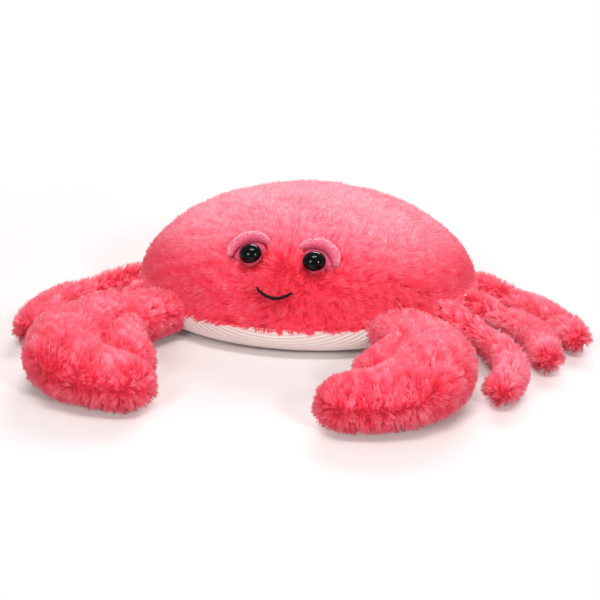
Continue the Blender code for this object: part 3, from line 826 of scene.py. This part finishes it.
for name, side, angle, height in EYES:
    turned = face_frame(angle, height)
    across, up, way, middle = (np.array(turned.col[i][:3]) for i in range(4))

    eye = rounded(f"eye_{name}_dome", 48, 32, -math.pi / 2)
    points = points_of(eye)
    points *= (EYE_RADIUS, EYE_RADIUS * EYE_HEIGHT_SHARE, 1.0)
    points[:, 2] *= np.where(points[:, 2] > 0, EYE_DOME_HEIGHT, EYE_BACK_DEPTH)
    points[:, 2] += EYE_LIFT
    put_points(eye, points)
    eye.data.shade_smooth()
    eye.data.transform(turned)
    finished(eye, eye_black, f"eye_{name}", slot="eye_plastic")

    # The patch is a round of cloth that shows between the eye and its lid, and dips under the pile
    # on the other sides.
    bpy.ops.mesh.primitive_circle_add(vertices=48, radius=PATCH_RADIUS, fill_type="TRIFAN")
    patch = bpy.context.object
    patch.name = f"eye_patch_{name}_cloth"
    edited(patch, (bpy.ops.mesh.subdivide, {"number_cuts": 5}))
    flat = points_of(patch)
    points = middle + np.outer(flat[:, 0] + 0.0012 * side, across) + np.outer(flat[:, 1] + 0.0008, up)
    _, _, by_lid = round_eye(points, side, angle, height)
    share = np.linalg.norm(flat, axis=1) / PATCH_RADIUS
    dip = PATCH_DIP + 0.0010 * smooth_step(share, 0.80, 1.0)
    dip += PATCH_SINK * (1 - by_lid) * smooth_step(share, 0.30, 0.72)
    put_points(patch, on_body(points, way) - np.outer(dip, way))
    finished(patch, lid_backing, f"eye_patch_{name}", slot="short_pile")
    chance = np.random.default_rng(41 + side)
    spots, out, _, _ = scattered(patch, PATCH_TUFTS, chance)
    tint = 0.30 + 0.10 * waves(spots, 0.004, 42)
    nap, lean = np.full((2, len(spots)), [[PATCH_HAIR_LENGTH], [0.9]])
    pile_name, comb = f"eye_patch_{name}_nap", spots - middle
    fuzz = tufts(pile_name, spots, out, comb, nap, lean, tint, NAP_STYLE, 43 + side)
    finished(fuzz, lid_pink, slot="short_pile")

    # The eyelid is a padded roll that starts level with the eye on its outer side and thins out
    # towards its ends.
    turn = np.radians(np.linspace(LID_START, LID_END, 41))
    spine = middle + (np.outer(np.cos(turn) * side, across) + np.outer(np.sin(turn), up)) * LID_RADIUS
    spine = on_body(spine, way) + way * LID_LIFT
    share = np.linspace(0, 1, len(spine))
    full = 0.18 + 0.82 * np.sin(math.pi * np.clip(share * 0.94 + 0.03, 0, 1)) ** 0.6
    lid = threads(f"eyelid_{name}_pad", [(spine, full)], LID_WIDTH, 6)
    finished(lid, lid_backing, f"eyelid_{name}", slot="short_pile")
    spots, out, _, _ = scattered(lid, LID_TUFTS, chance)
    reach, away, _ = round_eye(spots, side, angle, height)
    # Painted light and shade: the roll is paler out to its outer rim, as lit along its top edge, and
    # deeper on its side towards the eye.
    tint = 0.56 + 0.42 * (reach - LID_RADIUS) / LID_WIDTH + 0.06 * waves(spots, 0.004, 44)
    nap, lean = np.full((2, len(spots)), [[LID_HAIR_LENGTH], [0.8]])
    pile_name, comb = f"eyelid_{name}_nap", away + way * 0.2
    fuzz = tufts(pile_name, spots, out, comb, nap, lean, tint, NAP_STYLE, 45 + side)
    finished(fuzz, lid_pink, slot="short_pile")


# Smile
# The mouth is a thick black thread, embroidered through the pile in short back stitches.
STITCHES, STITCH_POINTS, THREAD_HALF_WIDTH = 9, 9, 0.00092
stitches = []
for k in range(STITCHES):
    share = np.linspace(0, 1, STITCH_POINTS)
    across = -1.03 + (2 * k + share * 2.12) / STITCHES
    way = body_way_out(*mouth_line(across))
    along = unit(body_surface(*mouth_line(across + 0.01)) - body_surface(*mouth_line(across - 0.01)))
    crown = np.sin(math.pi * np.clip(share, 0.03, 0.97))
    points = body_surface(*mouth_line(across)) + way * (0.0007 + 0.0006 * crown)[:, None]
    points += np.cross(along, way) * ((share - 0.5) * 0.0005)[:, None]
    stitches.append((points, (0.76 + 0.24 * crown**0.6) * (1 - 0.30 * np.abs(across) ** 3)))
smile = threads("smile_stitches", stitches, THREAD_HALF_WIDTH, 2)

thread_black, tree, shader, new, link = nodes_of("thread_black")
place = new("ShaderNodeTexCoord")
strands = new("ShaderNodeTexWave")
strands.inputs["Scale"].default_value = 900
strands.inputs["Distortion"].default_value = 1.5
shade = ramp(tree, [(0.0, (0.002, 0.001, 0.002)), (1.0, (0.006, 0.003, 0.004))])
bump = new("ShaderNodeBump")
bump.inputs["Strength"].default_value = 0.6
bump.inputs["Distance"].default_value = 0.0002
link(place.outputs["Object"], strands.inputs["Vector"])
link(strands.outputs["Fac"], shade.inputs["Fac"])
link(shade.outputs["Color"], shader.inputs["Base Color"])
link(strands.outputs["Fac"], bump.inputs["Height"])
link(bump.outputs["Normal"], shader.inputs["Normal"])
shader.inputs["Roughness"].default_value = 0.6
shader.inputs["Specular IOR Level"].default_value = 0.25
finished(smile, thread_black, "smile_thread", slot="thread")


# Inside
# Loose white fibre fills the body and every limb, and a plastic washer holds each eye's shank.
# None of it shows, but a part that is opened up still has its finish.
fibre_white, tree, shader, new, link = nodes_of("fibre_white")
place = new("ShaderNodeTexCoord")
wisps = new("ShaderNodeTexNoise")
wisps.inputs["Scale"].default_value = 220
wisps.inputs["Detail"].default_value = 6
shade = ramp(tree, [(0.3, (0.72, 0.72, 0.70)), (0.7, (0.92, 0.92, 0.90))])
bump = new("ShaderNodeBump")
bump.inputs["Distance"].default_value = 0.001
link(place.outputs["Object"], wisps.inputs["Vector"])
link(wisps.outputs["Fac"], shade.inputs["Fac"])
link(shade.outputs["Color"], shader.inputs["Base Color"])
link(wisps.outputs["Fac"], bump.inputs["Height"])
link(bump.outputs["Normal"], shader.inputs["Normal"])
shader.inputs["Roughness"].default_value = 1.0

washer_white, tree, shader, new, link = nodes_of("washer_white")
place = new("ShaderNodeTexCoord")
mould = new("ShaderNodeTexNoise")
mould.inputs["Scale"].default_value = 400
rough = new("ShaderNodeMapRange")
rough.inputs["To Min"].default_value = 0.4
rough.inputs["To Max"].default_value = 0.6
link(place.outputs["Object"], mould.inputs["Vector"])
link(mould.outputs["Fac"], rough.inputs["Value"])
link(rough.outputs["Result"], shader.inputs["Roughness"])
shader.inputs["Base Color"].default_value = (0.8, 0.8, 0.78, 1)

for name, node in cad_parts.items():
    finish = fibre_white if name.endswith("_filling") else washer_white if "washer" in name else None
    if finish:
        for slot in node.material_slots:
            slot.material = finish


# Studio
# A pale floor that fades into a white surround, a wide lamp above, two in front, one behind for the
# edges of the pile, and a camera at the height of a seated viewer.
bpy.ops.mesh.primitive_circle_add(vertices=96, radius=1.6, fill_type="NGON")
floor = bpy.context.object
floor.name = "studio_floor"
paper, tree, shader, new, link = nodes_of("floor_paper")
tree.nodes.remove(shader)
place = new("ShaderNodeTexCoord")
distance = new("ShaderNodeVectorMath")
distance.operation = "LENGTH"
fade = new("ShaderNodeMapRange")
fade.inputs["From Min"].default_value = 0.18
fade.inputs["From Max"].default_value = 0.36
fade.interpolation_type = "SMOOTHSTEP"
path = new("ShaderNodeLightPath")
seen = new("ShaderNodeMath")
seen.operation = "MAXIMUM"
share = new("ShaderNodeMath")
share.operation = "MULTIPLY"
matt = new("ShaderNodeBsdfDiffuse")
matt.inputs["Color"].default_value = (0.80, 0.745, 0.74, 1)
lift = new("ShaderNodeEmission")
lift.inputs["Strength"].default_value = 0.04
lifted = new("ShaderNodeAddShader")
glow = new("ShaderNodeEmission")
glow.inputs["Strength"].default_value = 1.0
plain = new("ShaderNodeMixShader")
mixed = new("ShaderNodeMixShader")
link(place.outputs["Object"], distance.inputs[0])
link(distance.outputs["Value"], fade.inputs["Value"])
link(path.outputs["Is Camera Ray"], seen.inputs[0])
link(path.outputs["Is Glossy Ray"], seen.inputs[1])
link(seen.outputs["Value"], share.inputs[0])
link(fade.outputs["Result"], share.inputs[1])
link(matt.outputs["BSDF"], lifted.inputs[0])
link(lift.outputs["Emission"], lifted.inputs[1])
link(seen.outputs["Value"], plain.inputs["Fac"])
link(matt.outputs["BSDF"], plain.inputs[1])
link(lifted.outputs["Shader"], plain.inputs[2])
link(share.outputs["Value"], mixed.inputs["Fac"])
link(plain.outputs["Shader"], mixed.inputs[1])
link(glow.outputs["Emission"], mixed.inputs[2])
link(mixed.outputs["Shader"], tree.nodes["Material Output"].inputs["Surface"])
floor.data.materials.append(paper)
floor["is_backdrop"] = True
bpy.ops.object.select_all(action="DESELECT")

world = bpy.data.worlds.new("studio_air")
world.use_nodes = True
bpy.context.scene.world = world
air, link = world.node_tree.nodes, world.node_tree.links.new
path = air.new("ShaderNodeLightPath")
seen = air.new("ShaderNodeMath")
seen.operation = "MAXIMUM"
level = air.new("ShaderNodeMapRange")
level.inputs["To Min"].default_value = 0.36
level.inputs["To Max"].default_value = 1.0
link(path.outputs["Is Camera Ray"], seen.inputs[0])
link(path.outputs["Is Transmission Ray"], seen.inputs[1])
link(seen.outputs["Value"], level.inputs["Value"])
air["Background"].inputs["Color"].default_value = (1, 1, 1, 1)
link(level.outputs["Result"], air["Background"].inputs["Strength"])

for name, spot, aim, size, power in (
    ("window_above", (0.05, -0.20, 1.00), (0.0, -0.02, 0.02), (0.50, 0.24), 4.4),
    ("softbox_left", (-0.40, -1.00, 0.65), (0.0, 0.0, 0.03), (0.30, 0.34), 4.0),
    ("spot_right", (0.85, -0.75, 0.55), (0.0, 0.0, 0.03), (0.16, 0.16), 4.8),
    ("rim_behind", (0.0, 0.90, 0.70), (0.0, 0.0, 0.05), (0.60, 0.30), 7.0),
):
    lamp = bpy.data.lights.new(name, "AREA")
    lamp.shape, lamp.size, lamp.size_y, lamp.energy = "RECTANGLE", *size, power
    holder = bpy.data.objects.new(name, lamp)
    bpy.context.scene.collection.objects.link(holder)
    holder.location = spot
    holder.rotation_euler = (Vector(aim) - Vector(spot)).to_track_quat("-Z", "Y").to_euler()

CAMERA_AZIMUTH, CAMERA_HEIGHT, CAMERA_DISTANCE = math.radians(13), math.radians(21), 0.80
camera = bpy.data.cameras.new("camera")
camera.sensor_width = 36.0
camera.lens = 80.0
camera.shift_x, camera.shift_y = -7 / 600, 3 / 600
holder = bpy.data.objects.new("camera", camera)
bpy.context.scene.collection.objects.link(holder)
back = Vector(
    (
        math.sin(CAMERA_AZIMUTH) * math.cos(CAMERA_HEIGHT),
        -math.cos(CAMERA_AZIMUTH) * math.cos(CAMERA_HEIGHT),
        math.sin(CAMERA_HEIGHT),
    )
)
holder.location = back * CAMERA_DISTANCE
holder.rotation_euler = back.to_track_quat("Z", "Y").to_euler()
bpy.context.scene.camera = holder
bpy.context.scene.view_settings.view_transform = "Standard"

low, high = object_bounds()
